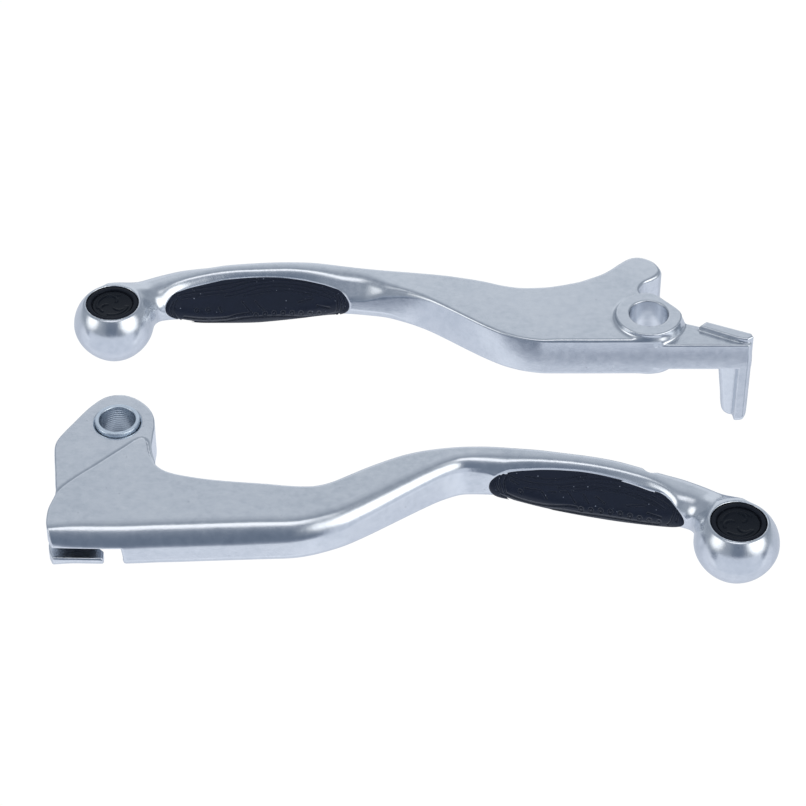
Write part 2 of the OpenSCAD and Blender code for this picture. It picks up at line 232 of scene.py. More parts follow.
def lever_track(stations, metal_nose, grip_nose, shoulder, pad_edge, crown_ends, pad_front=None):
    """Table of section values along X, one row per TRACK_X, columns as in Section."""
    def curve(rows, column, length):
        return soft(pchip(rows[:, 0], rows[:, column], TRACK_X), length)

    stations, shoulder, pad_edge = (np.array(t, float) for t in (stations, shoulder, pad_edge))
    front, back, half, *rounds = (curve(stations, k, TRACK_SOFT) for k in range(1, 9))
    front_cos, back_cos = (1 / np.sqrt(1 + np.gradient(v, TRACK_STEP) ** 2) for v in (front, back))
    metal, grip = (soft(np.interp(TRACK_X, *share), 0.7) for share in (metal_nose, grip_nose))
    corner, slope = (curve(shoulder, k, SHOULDER_SOFT) for k in (1, 2))
    sin, cos = np.sin(np.radians(slope)), np.cos(np.radians(slope))
    edge_y = np.interp(TRACK_X, pad_edge[:, 0], pad_edge[:, 1])
    pad_y = front if pad_front is None else curve(np.array(pad_front, float), 1, TRACK_SOFT)
    # the pad edge sits on the shoulder, but no higher than the nose ellipse
    edge_z = np.minimum(half - 0.2, half - (corner - edge_y) * sin / cos)
    inward = np.maximum(NOSE_Y - edge_y + pad_y, 0) / NOSE_Y
    edge_z = np.minimum(edge_z, NOSE_Z * np.sqrt(np.clip(1 - inward**2, 0, 1)))
    start, end, ramp = crown_ends
    crown = step(start, start + ramp, TRACK_X) * step(end, end - ramp, TRACK_X)
    return np.stack([front, front_cos, back, back_cos, half, *rounds, metal, grip, corner,
                     sin, cos, soft(edge_y, 0.4), soft(edge_z, 0.6), crown, pad_y], 1)


def look_up(table, x):
    u = np.clip((x - TRACK_X0) / TRACK_STEP, 0, TRACK_COUNT - 1.001)
    i = u.astype(np.int64)
    f = (u - i)[:, None]
    return (table[i] * (1 - f) + table[i + 1] * f).T


# x, front y, back y, half height, front top round in y and z, front bottom round in y and z,
# back round
CLUTCH_STATIONS = [
    [-14.0, -35.9, -26.9, 5.0, 2.9, 3.3, 0.9, 0.9, 0.4],
    [-11.6, -36.1, -22.3, 5.0, 3.3, 3.7, 1.2, 1.2, 0.4],
    [-9.8, -36.15, -20.3, 5.0, 3.9, 4.1, 1.7, 1.7, 0.4],
    [-6.8, -36.2, -17.3, 5.0, 4.4, 4.4, 2.0, 2.0, 0.4],
    [-3.0, -36.3, -13.7, 5.0, 4.6, 4.6, 2.0, 2.0, 0.4],
    [0.5, -36.35, -10.3, 5.0, 4.6, 4.6, 2.0, 2.0, 0.4],
    [5.9, -36.2, -5.5, 5.0, 4.6, 4.6, 2.0, 2.0, 0.4],
    [10.6, -35.9, -15.6, 5.0, 4.6, 4.6, 2.0, 2.0, 0.4],
    [14.0, -35.8, -17.2, 5.0, 4.6, 4.6, 2.0, 2.0, 0.4],
    [20.6, -35.5, -18.8, 5.0, 4.6, 4.6, 2.0, 2.0, 0.4],
    [27.5, -35.2, -19.7, 5.0, 4.6, 4.6, 2.0, 2.0, 0.4],
    [34.0, -34.9, -20.3, 5.0, 4.5, 4.5, 2.0, 2.0, 0.5],
    [39.0, -34.7, -20.9, 5.0, 4.3, 4.3, 2.0, 2.0, 0.6],
    [43.0, -34.0, -21.1, 5.0, 4.2, 4.2, 2.0, 2.0, 0.6],
    [47.0, -32.7, -20.1, 5.0, 4.3, 4.1, 2.1, 2.1, 0.7],
    [51.0, -31.0, -17.8, 5.0, 4.2, 4.0, 2.2, 2.2, 0.8],
    [55.4, -28.1, -15.1, 5.0, 4.0, 3.8, 1.9, 1.9, 0.8],
    [59.7, -25.0, -12.8, 5.0, 3.8, 3.6, 1.7, 1.7, 0.8],
    [64.1, -21.7, -10.8, 5.0, 3.6, 3.4, 1.4, 1.4, 0.8],
    [68.5, -18.5, -9.5, 5.0, 3.3, 3.2, 1.2, 1.2, 0.8],
    [73.0, -15.6, -8.8, 5.1, 3.1, 3.0, 1.1, 1.1, 0.8],
    [77.4, -14.0, -8.5, 5.2, 3.1, 3.0, 1.2, 1.2, 0.8],
    [81.0, -14.3, -8.5, 5.3, 3.5, 3.3, 1.8, 1.8, 0.9],
    [84.0, -15.1, -8.7, 5.35, 3.8, 3.6, 2.8, 2.8, 0.9],
    [88.0, -17.4, -9.1, 5.4, 5.0, 5.0, 5.4, 5.2, 1.0],
    [92.0, -19.2, -9.5, 5.5, 5.4, 5.2, 6.2, 5.4, 1.2],
    [98.0, -21.1, -10.6, 5.6, 5.6, 5.4, 6.6, 5.5, 1.2],
    [104.0, -22.7, -11.7, 5.6, 5.6, 5.4, 6.8, 5.5, 1.2],
    [110.0, -24.1, -13.1, 5.5, 5.4, 5.3, 6.6, 5.4, 1.3],
    [116.0, -25.2, -15.1, 5.3, 5.2, 5.1, 6.0, 5.2, 1.6],
    [120.5, -25.9, -16.6, 5.2, 5.0, 5.0, 5.4, 5.1, 2.2],
    [124.0, -26.9, -17.5, 5.0, 4.9, 4.9, 4.9, 4.9, 2.6],
    [127.5, -28.8, -19.1, 5.0, 4.9, 4.9, 4.9, 4.9, 2.8],
    [131.0, -31.2, -21.0, 5.0, 4.7, 4.8, 4.7, 4.8, 3.0],
    [134.0, -32.4, -23.1, 5.0, 4.5, 4.6, 4.5, 4.6, 3.0],
]
BRAKE_STATIONS = [
    [-2.6, 40.2, 48.2, 5.0, 4.4, 4.6, 4.4, 4.6, 3.0],
    [0.3, 40.0, 49.3, 5.0, 4.8, 4.8, 4.8, 4.8, 3.0],
    [3.8, 41.2, 50.8, 5.0, 4.9, 4.9, 4.9, 4.9, 2.8],
    [7.5, 42.6, 52.1, 5.0, 5.0, 4.9, 5.0, 4.9, 2.4],
    [11.5, 43.1, 52.9, 5.2, 5.2, 5.1, 5.4, 5.1, 1.9],
    [16.8, 42.7, 53.1, 5.5, 5.5, 5.3, 6.2, 5.4, 1.3],
    [22.0, 42.7, 54.1, 5.6, 5.6, 5.4, 6.8, 5.5, 1.2],
    [28.0, 42.8, 54.8, 5.6, 5.6, 5.4, 7.0, 5.5, 1.2],
    [34.0, 43.5, 55.2, 5.6, 5.6, 5.4, 7.0, 5.5, 1.2],
    [40.0, 44.5, 55.3, 5.5, 5.4, 5.3, 6.2, 5.4, 1.2],
    [45.0, 45.4, 54.8, 5.3, 6.4, 5.0, 4.9, 4.8, 0.9],
    [50.0, 46.0, 54.0, 5.1, 6.1, 4.7, 3.7, 3.7, 0.8],
    [54.5, 45.6, 53.3, 5.0, 4.6, 4.2, 3.3, 3.3, 0.7],
    [59.2, 45.0, 52.6, 5.0, 2.9, 3.2, 2.9, 3.2, 0.7],
    [63.9, 43.9, 52.0, 5.0, 1.8, 1.9, 1.8, 1.9, 0.6],
    [68.6, 41.8, 51.4, 5.0, 1.1, 1.2, 1.2, 1.2, 0.6],
    [73.3, 38.6, 50.7, 5.0, 0.8, 0.8, 0.9, 0.9, 0.6],
    [78.0, 35.0, 49.7, 5.0, 0.7, 0.7, 0.8, 0.8, 0.6],
    [82.6, 31.6, 48.5, 5.0, 0.7, 0.7, 0.8, 0.8, 0.6],
    [87.2, 28.8, 46.9, 5.0, 0.7, 0.7, 0.8, 0.8, 0.6],
    [91.9, 27.1, 46.1, 5.0, 0.7, 0.7, 0.8, 0.8, 0.6],
    [96.5, 26.4, 46.3, 5.0, 0.7, 0.7, 0.8, 0.8, 0.6],
    [101.0, 26.4, 47.2, 5.0, 0.7, 0.7, 0.8, 0.8, 0.6],
    [106.0, 26.4, 48.9, 5.0, 0.7, 0.7, 0.8, 0.8, 0.6],
]
# back edge of each grip recess in plan: x, y
CLUTCH_PAD_EDGE = [
    [81.5, -15.0], [82.9, -14.9], [84.8, -14.8], [87.0, -14.49], [89.2, -14.41], [91.4, -14.47],
    [93.6, -14.54], [97.9, -14.92], [102.3, -15.51], [106.6, -16.48], [110.9, -17.8],
    [115.2, -19.49], [119.4, -21.75], [121.4, -23.5], [123.4, -25.8], [124.4, -26.9],
    [125.4, -28.0]]
BRAKE_PAD_EDGE = [
    [7.0, 43.6], [8.0, 44.1], [8.9, 44.8], [10.6, 46.4], [12.4, 47.4], [14.2, 48.1],
    [17.9, 49.2], [21.6, 50.15], [25.3, 50.67], [29.0, 50.93], [32.8, 51.08], [36.6, 51.0],
    [40.4, 50.55], [44.1, 49.7], [46.0, 49.1], [47.9, 48.36], [49.8, 47.3], [50.6, 46.8],
    [51.6, 46.3]]
# rounded shoulder behind the recess: x, corner y, slope in degrees
CLUTCH_SHOULDER = [
    [70, -17.6, 55], [76, -13.9, 55], [80, -13.2, 55], [83, -12.85, 55], [86.8, -12.76, 55],
    [91.4, -13.02, 55], [96.2, -13.53, 55], [100.2, -14.05, 55], [104.3, -14.81, 55],
    [108.4, -15.83, 55], [112.4, -17.11, 55], [116.3, -18.63, 55], [118.3, -19.71, 52],
    [121.1, -21.6, 46], [123.4, -24.2, 40], [126.5, -28.5, 35], [130, -33.0, 35]]
BRAKE_SHOULDER = [
    [2, 41.0, 35], [6, 45.2, 35], [9, 47.4, 42], [10.6, 48.2, 48], [12.4, 48.9, 52],
    [14.2, 49.45, 55], [17.9, 50.5, 55], [21.6, 51.3, 55], [25.3, 51.8, 55], [29, 52.0, 55],
    [32.8, 52.2, 55], [36.6, 52.3, 55], [40.4, 52.1, 53], [44.1, 51.7, 48], [47.9, 51.0, 44],
    [51, 50.6, 42], [54, 50.0, 42], [57, 48.6, 42], [61, 45.5, 42]]
# front line the clutch grip is built from: x, y
CLUTCH_PAD_FRONT = [
    [60, -24.8], [76, -15.6], [80, -15.9], [82, -16.3], [84, -16.8], [86, -17.2], [92, -19.2],
    [98, -21.1], [104, -22.7], [110, -24.1], [116, -25.2], [120.5, -25.9], [124, -26.9],
    [130, -31.0]]
# curved left and right ends of each recess: x at the bulge, z of the bulge, curvature
CLUTCH_ENDS = ((82.3, -0.4, 0.23), (124.7, -0.3, 0.25))
BRAKE_ENDS = ((7.9, 0.9, 0.20), (51.0, -0.7, 0.16))

# nose shares are given as x values and shares, crown ends as start, end and ramp length
CLUTCH_TRACK = lever_track(
    CLUTCH_STATIONS, metal_nose=([84, 89, 121, 127], [0, 1, 1, 0]),
    grip_nose=([79, 83, 123, 128], [0, 1, 1, 0]), shoulder=CLUTCH_SHOULDER,
    pad_edge=CLUTCH_PAD_EDGE, crown_ends=(82.0, 124.7, 4.0), pad_front=CLUTCH_PAD_FRONT)
BRAKE_TRACK = lever_track(
    BRAKE_STATIONS, metal_nose=([8, 13, 43, 49], [0, 1, 1, 0]),
    grip_nose=([4, 9, 46, 53], [0, 1, 1, 0]), shoulder=BRAKE_SHOULDER,
    pad_edge=BRAKE_PAD_EDGE, crown_ends=(7.9, 50.9, 4.0))


def window_plan(pad_edge):
    """Plan of a grip recess: its back edge, left open well past the front."""
    curve = catmull(pad_edge, 8)
    (left, left_y), (right, right_y) = curve[0], curve[-1]
    outline = np.vstack([
        [[left - 0.8, left_y - 20.0], [left - 0.5, left_y - 3]], curve,
        [[right + 0.5, right_y - 3], [right + 0.8, right_y - 20.0]]])
    return Plan(outline, curve.min(0) - [4, 10], curve.max(0) + [4, 6], 0.1)


CLUTCH_WINDOW, BRAKE_WINDOW = window_plan(CLUTCH_PAD_EDGE), window_plan(BRAKE_PAD_EDGE)


def window(pts, plan, ends):
    x, y, z = pts.T
    walls = []
    for side, (bulge_x, bulge_z, curve) in zip((-1, 1), ends):
        gap = side * (x - bulge_x) + curve * (z - bulge_z) ** 2
        walls.append(gap / np.sqrt(1 + (2 * curve * (z - bulge_z)) ** 2))
    return smax(plan(x, y), np.maximum(*walls), 0.8)


def lever(pts, table, bulge, bulge_z, back=None):
    """Metal section with its rounded shoulder, and the fuller outline that the grip follows.

    A back plan, if given, replaces the back wall at the left end of the lever.
    """
    x, y, z = pts.T
    s = Section(*look_up(table, x))
    front_wall = (s.front_y - y) * s.front_cos + bulge * np.maximum(z - bulge_z, 0) ** 2
    plain = edge(front_wall, z, s.half, s.top_y, s.top_z, s.low_y, s.low_z)
    blunt = nose((s.pad_y - y) * s.front_cos, z, s.half)
    back_wall = (y - s.back_y) * s.back_cos
    if back is not None:
        t = step(18, 26, x)
        back_wall = back(x, y) * (1 - t) + back_wall * t
    rear = edge(back_wall, z, s.half, s.back_r, s.back_r, s.back_r, s.back_r)
    sloped = (z - s.half) * s.slope_cos + (s.corner_y - y) * s.front_cos * s.slope_sin
    shoulder = smax(z - s.half, sloped, 1.32)
    metal = smax(smax(plain + (blunt - plain) * s.metal_nose, shoulder, 0.5), rear, 0.3)
    # the grip's top leans 27 degrees through the pad edge and sinks where there is no crown
    lean = (z - s.pad_edge_z - 0.3) * 0.891 - (y - s.pad_edge_y) * 0.454 - 0.9 * (1 - s.crown)
    full = smax(smax(plain + (blunt - plain) * s.grip_nose, rear, 0.3) - 0.6, lean, 1.2)
    return metal, full


def cut_recess(dist, pts, full, plan, ends):
    recess = smax(window(pts, plan, ends), -(full + RECESS_DEPTH), 0.3)
    return smax(dist, -recess, 0.32)


def grip_field(outlines, track, plan, ends, tread):
    def field(pts):
        full = outlines(pts)[1]
        inset = window(pts, plan, ends) + PAD_GAP
        return np.maximum(smax(inset, full + tread(pts, track), 0.7), -(full + PAD_DEPTH))
    return field


def ball(pts, centre):
    """Ball whose lower half is drawn in a little, most at 45 degrees down."""
    offset = pts - np.array([centre[0], centre[1], 0.0])
    r = np.maximum(np.linalg.norm(offset, axis=1), 1e-6)
    rise = np.clip(offset[:, 2] / r, -1, 1)
    draw_in = 0.062 * np.abs(2 * rise * np.sqrt(1 - rise * rise)) ** 1.5
    return r - BALL_R * np.where(rise < 0, 1 - draw_in, 1.0)


def add_ball_end(dist, pts, centre):
    """Blend on the ball, cut its flat top and the pocket for its cap."""
    x, y, z = pts.T
    out = np.hypot(x - centre[0], y - centre[1])
    dist = smin(dist, ball(pts, centre), 4.0)
    dist = smax(dist, z - FLAT_Z - np.maximum(0, out - 11), 0.35)
    pocket = np.maximum(out - (CAP_R + CAP_GAP), SEAT_Z - z)
    return smax(dist, -pocket, 0.22)


# ---------------------------------------------------------------- clutch lever
# back of the left end, carried past the front so that only the back wall counts
CLUTCH_BACK = Plan(
    np.vstack([
        catmull([
            [-11.8, -50], [-11.75, -39], [-11.8, -36.6], [-12.2, -35.3], [-12.8, -33.7],
            [-13.1, -31.2], [-12.95, -28.2], [-12.3, -25.5], [-11.4, -22.7], [-9.6, -20.2],
            [-6.9, -17.3], [-3.8, -14.4], [-0.8, -11.4], [1.8, -8.8], [4.0, -6.6], [5.2, -5.75],
            [6.2, -5.75], [6.9, -6.8], [7.25, -8.6], [7.75, -10.9], [8.9, -13.5], [10.8, -15.7],
            [14.0, -17.25], [20.6, -18.8], [27.5, -19.7], [34.0, -20.3], [39.0, -20.9]], 8),
        [[39.0, -50.0]]]),
    [-20, -42], [36, 0])
CLUTCH_EAR = Plan(  # thinner plate round the pivot
    catmull([
        [-0.2, 8.9], [-3.2, 8.1], [-6.2, 5.0], [-9.4, -0.1], [-12.1, -4.8], [-12.9, -7.4],
        [-12.8, -10.4], [-12.2, -15.8], [-11.6, -21.2], [-10.6, -24.5], [-2, -26], [5, -24],
        [9.5, -18.5], [8.9, -13.4], [7.8, -8.4], [7.9, -3.8], [8.0, -1.2], [7.6, 1.9],
        [6.4, 4.6], [4.4, 6.9], [2.3, 8.3]], 12, True),
    [-18, -30], [16, 14])
EAR_HALF, EAR_ROUND = 4.3, 0.35
NIPPLE = (1.0, -30.4, 4.0)  # x, y and radius of the pocket for the cable nipple
BREAK_GROOVE = (117.9, -15.2, 1.8)  # x, y and radius of the break-off groove


def clutch_outlines(pts):
    return lever(pts, CLUTCH_TRACK, bulge=0.004, bulge_z=0.0, back=CLUTCH_BACK)


def clutch_casting(pts):
    x, y, z = pts.T
    body, full = clutch_outlines(pts)
    dist = np.maximum(body, x - CLUTCH_BALL[0])
    dist = cut_recess(dist, pts, full, CLUTCH_WINDOW, CLUTCH_ENDS)
    dip = 0.28 * (1 - step(0.0, 0.9, CLUTCH_BACK(x, y))) * step(9.5, 6.0, x)
    ear_wall = CLUTCH_EAR(x, y) - EAR_ROUND
    dist = smin(dist, slab(ear_wall, z, -EAR_HALF + dip, EAR_HALF - dip, EAR_ROUND), 0.2)
    dist = add_ball_end(dist, pts, CLUTCH_BALL)
    # pivot bore with a small chamfer
    bore = np.hypot(x, y) - CLUTCH_BORE - np.clip(np.abs(z) - 3.95, 0, 1) * 1.0
    dist = smax(dist, -bore, 0.12)
    # cable slot, gap in the lower wall, pocket for the nipple
    right = 2.9 - 0.11 * z
    slot = np.maximum.reduce([x - right, y + 26.5, z - 0.4, -2.4 - z])
    gap = np.maximum.reduce([x - right, -1.0 - x, y + 29.6, z])
    pocket = np.maximum(np.hypot(x - NIPPLE[0], y - NIPPLE[1]) - NIPPLE[2], z - 2.3)
    dist = smax(dist, -smin(smin(slot, gap, 0.5), pocket, 0.15), 0.45)
    groove = np.hypot(x - BREAK_GROOVE[0], y - BREAK_GROOVE[1]) - BREAK_GROOVE[2]
    return smax(dist, -groove, 0.5)


# ---------------------------------------------------------------- brake lever
def brake_plate_plan():
    """Right end: the lever's own front and back lines, closed by the lobe and the nose."""
    near = (TRACK_X > 84) & (TRACK_X < 103)
    front, back = (np.stack([TRACK_X, BRAKE_TRACK[:, k]], 1)[near][::8] for k in (0, 2))
    lobe = catmull([
        [103.0, 47.75], [104.8, 48.35], [106.8, 49.3], [111.0, 51.7], [115.9, 56.2],
        [118.4, 57.3], [120.7, 56.9], [123.0, 55.4], [124.3, 52.8], [123.9, 50.8],
        [122.2, 49.2], [120.0, 47.7], [118.8, 45.6], [119.2, 43.6], [121.4, 42.4]], 8)
    tip = catmull([
        [126.0, 39.6], [128.2, 36.6], [128.8, 34.0], [128.0, 31.4], [126.0, 28.9],
        [123.6, 27.0], [121.0, 26.45], [116.0, 26.45], [108.0, 26.4], [103.0, 26.4]], 8)
    return Plan(np.vstack([back, lobe, tip, front[::-1]]), [90, 20], [134, 62])


BRAKE_PLATE = brake_plate_plan()
# arm to the right of the pivot, the rib on it and the tab hanging from its end
ARM = Plan(
    [[121, 26.45], [143.0, 26.45], [143.9, 27.4], [143.7, 29.4], [133.7, 33.4], [129.2, 34.9],
     [121, 36.9]], [108, 20], [148, 42])
RIB = Plan(
    [[131.7, 32.2], [133.5, 33.9], [143.5, 29.7], [143.95, 28.4], [142.6, 27.5],
     [140.6, 27.9]], [126, 22], [148, 38])
TAB = Plan(
    [[133.0, 31.0], [134.0, 33.4], [143.6, 29.4], [143.9, 27.4], [143.0, 26.45],
     [140.9, 26.45], [140.4, 28.2]], [126, 20], [148, 38])
TAB_SIDE = Plan(  # the tab seen from the front: x, z
    catmull([
        [136.5, 3], [136.6, -4], [137.1, -9], [137.7, -14], [138.0, -17.2], [138.5, -18.7],
        [139.6, -19.4], [141.4, -19.6], [142.8, -19.4], [143.7, -18.6], [144.1, -16.8],
        [144.2, -10], [144.3, 3]], 6), [130, -24], [148, 8])
SPRUE_DENT = (140.2, 27.6, -19.9, 1.15)  # x, y, z and radius, at the foot of the tab


def brake_outlines(pts):
    return lever(pts, BRAKE_TRACK, bulge=0.010, bulge_z=-2.5)


def brake_arm(x, y, z, draft):
    arm = slab(ARM(x, y) + draft, z, -3.5, 3.6, 0.45)
    rib = slab(RIB(x, y), z, -3.0, 4.9, 0.45)
    tab = smax(slab(TAB(x, y) + draft, z, -30, 2.6, 0.5), TAB_SIDE(x, z), 0.9)
    dent_x, dent_y, dent_z, dent_r = SPRUE_DENT
    dent = np.sqrt((x - dent_x) ** 2 + (y - dent_y) ** 2 + (z - dent_z) ** 2) - dent_r
    tab = smax(tab, -dent, 0.35)
    blend = 0.02 + 0.5 * step(3.0, 3.9, z) * step(28.4, 29.6, y)
    return np.minimum(smin(arm, rib, blend), tab)


def brake_casting(pts):
    x, y, z = pts.T
    body, full = brake_outlines(pts)
    dist = np.maximum(body, BRAKE_BALL[0] - x)
    dist = cut_recess(dist, pts, full, BRAKE_WINDOW, BRAKE_ENDS)
    # the section gives way to the plate at the right end
    top_round = 0.7 + 0.9 * step(120, 127, x) * (z > 0)
    draft = 0.010 * np.maximum(z + 2.5, 0) ** 2 * step(40, 31, y)
    plate = edge(BRAKE_PLATE(x, y) + draft, z, PLATE_HALF, top_round, top_round, 0.8, 0.8)
    t = step(93, 100, x)
    dist = dist * (1 - t) + np.maximum(plate, 90 - x) * t
    # pivot boss with one flat
    from_x, from_y = x - BRAKE_PIVOT[0], y - BRAKE_PIVOT[1]
    rho = np.hypot(from_x, from_y)
    angle, reach = BOSS_FLAT
    flat = from_x * math.cos(angle) + from_y * math.sin(angle) - reach
    dist = smin(dist, slab(smax(rho - BRAKE_BOSS_R, flat, 1.2), z, -5.5, 6.3, 0.3), 1.2)
    dist = smin(dist, brake_arm(x, y, z, draft), 0.02 + 0.6 * step(2.9, 3.8, z))
    bore = rho - BRAKE_BORE - np.clip(np.maximum(z - 6.12, -5.3 - z), 0, 0.3) * 0.9
    dist = smax(dist, -bore, 0.15)
    return add_ball_end(dist, pts, BRAKE_BALL)


# ---------------------------------------------------------------- grip tread
# width and depth of each kind of groove
GROOVES = dict(waves=(0.42, 0.30), bottom=(0.40, 0.34), ends=(0.36, 0.28), bars=(0.42, 0.32))
RING_R, RING_WIDTH, RING_DEPTH = 0.38, 0.36, 0.34
TREAD_TOP, TREAD_CELL = 12, 0.06
TREAD_LEFT, TREAD_BELOW = 2, 1.5  # margins of the grid


class Tread:
    """Depth of the moulded tread over x and height, as seen from the front and above."""

    def __init__(self, start, end, lines):
        self.x0 = start - TREAD_LEFT
        self.count_x = int((end - start + 2 * TREAD_LEFT) / TREAD_CELL)
        self.count_y = int((TREAD_TOP + 2 * TREAD_BELOW) / TREAD_CELL)
        self.grid_x, self.grid_y = np.meshgrid(
            self.x0 + TREAD_CELL * np.arange(self.count_x),
            -TREAD_BELOW + TREAD_CELL * np.arange(self.count_y), indexing="ij")
        self.depth = np.zeros(self.grid_x.shape)
        for kind, (width, depth) in GROOVES.items():
            for line in lines[kind]:
                line = catmull(line, 6) if len(line) > 2 else np.array(line, float)
                self.press(self.line_dist(line), width, depth)
        for x, y in lines["rings"]:
            ring = np.abs(np.hypot(self.grid_x - x, self.grid_y - y) - RING_R)
            self.press(ring, RING_WIDTH, RING_DEPTH)

    def line_dist(self, line):
        dist2 = np.full(self.grid_x.shape, 1e9)
        margin = 1.6

        def near(a, b, origin):
            first = int((min(a, b) - margin - origin) / TREAD_CELL)
            last = int((max(a, b) + margin - origin) / TREAD_CELL) + 1
            return slice(max(first, 0), max(last, 0))

        for start, end in zip(line[:-1], line[1:]):
            box = near(start[0], end[0], self.x0), near(start[1], end[1], -TREAD_BELOW)
            gap2 = segment_dist2(self.grid_x[box], self.grid_y[box], start, end)
            dist2[box] = np.minimum(dist2[box], gap2)
        return np.sqrt(dist2)

    def press(self, dist, width, depth):
        groove = depth * (1 - step(width * 0.35, width * 0.75, dist))
        self.depth = np.maximum(self.depth, groove)

    def __call__(self, pts, track):
        x, y, z = pts.T
        front_y = look_up(track[:, :1], x)[0]
        # height across a line of sight 42 degrees from level
        height = 0.669 * (y - front_y) + 0.743 * z + 2.45
        u = np.clip((x - self.x0) / TREAD_CELL, 0, self.count_x - 1.01)
        v = np.clip((height + TREAD_BELOW) / TREAD_CELL, 0, self.count_y - 1.01)
        return bilinear(self.depth, u, v) * step(-5.0, -3.8, z)


# flowing grooves, lines along the lower edge, cross lines at both ends, plain bars and rings,
# all as x, height
BRAKE_LINES = dict(
    waves=[
        [(11, 6.2), (14.7, 7.1), (18.4, 7.6), (21.9, 8.0), (24.4, 8.7), (26.9, 9.4), (30.9, 9.7),
         (35.6, 9.4), (40.3, 8.4), (43.4, 7.3), (45.9, 6.2), (48.1, 4.9)],
        [(11.8, 5.5), (15.3, 6.3), (19.4, 6.9), (23.1, 7.3), (25.6, 7.9), (28.1, 8.6),
         (31.9, 8.9), (35.6, 8.5), (39.4, 7.7), (42.8, 6.5), (45.3, 5.3), (47.2, 4.2)],
        [(21.9, 6.3), (25, 6.8), (27.5, 7.5), (30.3, 8.0), (34.1, 8.0), (38.1, 7.2),
         (41.9, 5.9), (44.7, 4.7), (46.4, 3.9)],
        [(26.2, 6.4), (29.4, 6.9), (32.5, 7.1), (35.9, 6.9), (39, 6.2), (41.9, 5.1)],
        [(14.3, 7.9), (17.8, 8.5), (21.9, 9.1), (25.6, 9.8), (29.4, 10.3)],
    ],
    bottom=[
        [(12.3, 1.25), (16.9, 1.1), (21.9, 1.3), (24.7, 1.95), (27.5, 2.3)],
        [(11.7, 0.6), (16.9, 0.5), (21.9, 0.7), (26.2, 1.25), (29.4, 1.4), (34.1, 1.2),
         (40.3, 0.5), (45, 0.1), (48.1, 0.5)],
    ],
    ends=[
        [(10.7, 5.2), (10, 3.7), (10.1, 1.9), (11, 0.7)], [(9.8, 4.7), (9.2, 3.2), (9.5, 1.6)],
        [(47.7, 4.8), (48.1, 3.2), (48, 1.3), (47.5, 0.2)],
        [(48.5, 4.3), (49, 2.8), (48.9, 1.2), (48.4, 0.2)],
        [(49.5, 3.7), (49.9, 2.4), (49.6, 1.0)],
    ],
    bars=[
        [(25.9, 4.9), (28.1, 2.3)], [(28.9, 5.0), (30.8, 2.8)], [(20.5, 3.6), (21.1, 2.6)],
        [(43.4, 2.5), (46.2, 1.7)], [(39, 3.8), (42.2, 4.2)], [(17.5, 1.1), (18.4, 0.6)],
    ],
    rings=[(15.3, 2.9), (17.9, 3.1), (29.1, 1.75), (31.2, 1.95), (33.3, 1.95), (35.4, 1.8),
           (37.5, 1.55), (39.6, 1.25), (41.7, 0.95), (43.8, 0.7)],
)
CLUTCH_LINES = dict(
    waves=[
        [(85, 5.4), (88.3, 5.1), (92, 5.2), (95.6, 5.7), (99.2, 6.5), (102.3, 7.3),
         (106.2, 7.9), (110.1, 8.0), (113.7, 7.7), (116.7, 7.0), (119.4, 5.9), (121.7, 4.7)],
        [(97.4, 5.4), (101, 6.2), (104.7, 6.9), (108.6, 7.2), (112.2, 7.0), (115.2, 6.4),
         (118.2, 5.4), (120.2, 4.2)],
        [(100.4, 5.3), (103.5, 6.1), (107.1, 6.6), (110.7, 6.6), (114, 6.1), (117, 5.3),
         (119.4, 4.2)],
        [(90.4, 6.2), (94.1, 6.6), (97.4, 7.2), (101, 8.3), (103.5, 9.1)],
        [(101.7, 8.0), (106.2, 8.8), (110.7, 9.0), (114.3, 8.6), (117.3, 7.8), (120.1, 6.7)],
    ],
    bottom=[
        [(86.2, 1.0), (90.4, 0.9), (95, 1.15), (99.2, 1.9), (101.3, 2.0)],
        [(85, 0.2), (89.5, 0.1), (94.1, 0.3), (98.6, 0.75), (102.3, 0.8), (106.5, 1.0),
         (110.7, 1.0), (115.2, 0.85), (119.1, 0.8)],
    ],
    ends=[
        [(84.1, 4.3), (83.6, 2.7), (84.4, 1.0)], [(85, 4.7), (84.6, 2.8), (85.3, 0.8)],
        [(86.1, 4.7), (85.6, 2.9), (86.1, 1.1)],
        [(121.9, 5.3), (122.2, 3.9), (121.7, 2.1), (121.1, 1.0)],
        [(122.8, 4.9), (123.1, 3.5), (122.8, 2.0)],
    ],
    bars=[
        [(87, 4.3), (88.5, 4.0)], [(90.1, 3.6), (93.6, 4.0)], [(93.8, 3.8), (94.8, 2.5)],
        [(95.4, 4.1), (96.8, 4.3)], [(97.9, 4.6), (99.3, 4.9)], [(99.8, 4.5), (101, 2.8)],
        [(102.9, 4.9), (103.8, 3.3)], [(105.6, 4.9), (107.3, 3.8)],
        [(112.1, 3.9), (116.1, 4.6)], [(116.6, 2.9), (119.4, 2.3)],
    ],
    rings=[(89.2, 2.6), (102.3, 1.7), (104.4, 1.9), (106.5, 2.1), (108.6, 2.2), (110.7, 2.1),
           (112.8, 1.9), (114.9, 1.65), (117.0, 1.4), (119.1, 1.2)],
)
BRAKE_TREAD = Tread(7.9, 50.9, BRAKE_LINES)
CLUTCH_TREAD = Tread(82.0, 124.7, CLUTCH_LINES)


